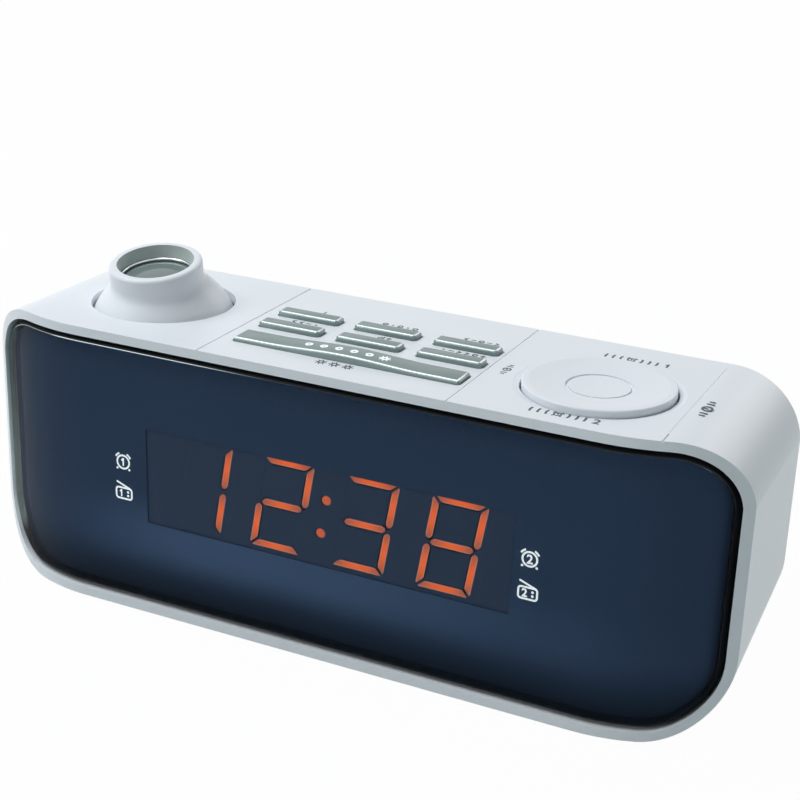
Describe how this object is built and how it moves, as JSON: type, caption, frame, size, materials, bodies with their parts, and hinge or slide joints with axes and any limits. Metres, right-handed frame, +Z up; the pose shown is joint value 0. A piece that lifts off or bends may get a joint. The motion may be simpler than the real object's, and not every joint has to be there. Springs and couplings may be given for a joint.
{
  "type": "projection alarm clock",
  "caption": "Wide low clock radio with a curved smoked display panel, sprung keys, a four-way rocker pad, a snooze bar and a ball-mounted time projector.",
  "frame": {"origin": "on the table under the middle of the bounding box, at the bottom of the rubber feet", "axes": "+Z up, the display faces -Y, +X to the right of someone who looks at the display"},
  "size_m": [0.1956, 0.0646, 0.0811],
  "materials": {
    "case_white": "smooth semi-gloss white moulding",
    "smoked_panel": "polished smoked navy acrylic",
    "black_plastic": "fine matt black",
    "display_grey": "dark display face",
    "lit_orange": "glowing orange-red bars",
    "board_green": "green solder mask",
    "plated_steel": "bright zinc plate",
    "can_aluminium": "plain drawn can",
    "cone_paper": "black paper",
    "magnet_ferrite": "dull grey",
    "foot_rubber": "soft grey rubber",
    "cell_wrap": "plain printed sleeve",
    "key_silver": "satin silver-grey",
    "inner_white": "plain natural acetal",
    "lens_clear": "clear polished lens",
    "lens_trim": "pale grey trim"
  },
  "bodies": {
    "case": {"housing": "case_white", "front_frame": "black_plastic", "display_panel": "smoked_panel", "display_module": "display_grey", "digit_bars": "lit_orange", "main_board": "board_green", "radio_chip": "black_plastic", "tuner_can": "plated_steel", "capacitors": "black_plastic", "board_screws": "plated_steel", "rear_cover": "case_white", "case_screws": "plated_steel", "speaker_basket": "plated_steel", "speaker_cone": "cone_paper", "speaker_magnet": "magnet_ferrite", "dc_inlet": "black_plastic", "aerial_grommet": "black_plastic", "rubber_feet": "foot_rubber", "backup_cells": "cell_wrap", "battery_contacts": "plated_steel", "key_board": "board_green", "key_switches": "black_plastic", "key_screws": "plated_steel", "pad_bracket": "black_plastic", "projector_base": "black_plastic", "projector_screws": "plated_steel"},
    "battery_door": {"battery_door": "case_white"},
    "key_front_left": {"key_front_left": "key_silver"},
    "key_front_middle": {"key_front_middle": "key_silver"},
    "key_front_right": {"key_front_right": "key_silver"},
    "key_rear_left": {"key_rear_left": "key_silver"},
    "key_rear_middle": {"key_rear_middle": "key_silver"},
    "key_rear_right": {"key_rear_right": "key_silver"},
    "snooze_bar": {"snooze_bar": "key_silver"},
    "pad_gimbal": {"pad_gimbal": "inner_white"},
    "rocker_pad": {"rocker_pad": "case_white"},
    "projector_turntable": {"projector_cradle": "inner_white"},
    "projector_head": {"projector_ball": "case_white", "projector_cap": "black_plastic", "projector_lens": "lens_clear", "lens_ring": "lens_trim", "image_slide": "display_grey", "projector_lamp": "inner_white"}
  },
  "joints": [
    {"name": "key_front_left_press", "type": "slide", "parent": "case", "child": "key_front_left", "axis": [0, -0.1322, -0.9912], "range_m": [0, 0.0006], "stiffness_N_per_m": 1500},
    {"name": "key_front_middle_press", "type": "slide", "parent": "case", "child": "key_front_middle", "axis": [0, -0.1322, -0.9912], "range_m": [0, 0.0006], "stiffness_N_per_m": 1500},
    {"name": "key_front_right_press", "type": "slide", "parent": "case", "child": "key_front_right", "axis": [0, -0.1322, -0.9912], "range_m": [0, 0.0006], "stiffness_N_per_m": 1500},
    {"name": "key_rear_left_press", "type": "slide", "parent": "case", "child": "key_rear_left", "axis": [0, -0.1322, -0.9912], "range_m": [0, 0.0006], "stiffness_N_per_m": 1500},
    {"name": "key_rear_middle_press", "type": "slide", "parent": "case", "child": "key_rear_middle", "axis": [0, -0.1322, -0.9912], "range_m": [0, 0.0006], "stiffness_N_per_m": 1500},
    {"name": "key_rear_right_press", "type": "slide", "parent": "case", "child": "key_rear_right", "axis": [0, -0.1322, -0.9912], "range_m": [0, 0.0006], "stiffness_N_per_m": 1500},
    {"name": "snooze_bar_press", "type": "slide", "parent": "case", "child": "snooze_bar", "axis": [0, -0.1322, -0.9912], "range_m": [0, 0.0007], "stiffness_N_per_m": 1500},
    {"name": "pad_rock_front_rear", "type": "hinge", "parent": "case", "child": "pad_gimbal", "pos_m": [0.0576, 0.00111, 0.06414], "axis": [1, 0, 0], "range_deg": [-2.3, 2.3], "stiffness_Nm_per_rad": 0.1},
    {"name": "pad_rock_left_right", "type": "hinge", "parent": "pad_gimbal", "child": "rocker_pad", "pos_m": [0.0576, 0.00111, 0.06414], "axis": [0, 0.9912, -0.1322], "range_deg": [-2.3, 2.3], "stiffness_Nm_per_rad": 0.1},
    {"name": "projector_turn", "type": "hinge", "parent": "case", "child": "projector_turntable", "pos_m": [-0.0582, 0.00319, 0.06013], "axis": [0, 0.1322, 0.9912], "range_deg": [-90.5, 89.5]},
    {"name": "projector_tilt", "type": "hinge", "parent": "projector_turntable", "child": "projector_head", "pos_m": [-0.0582, 0.00319, 0.06013], "axis": [1, 0.0086, -0.0012], "range_deg": [-34.8, 15.2]},
    {"name": "battery_door_slide", "type": "slide", "parent": "case", "child": "battery_door", "axis": [0, 1, 0], "range_m": [0, 0.035]}
  ]
}
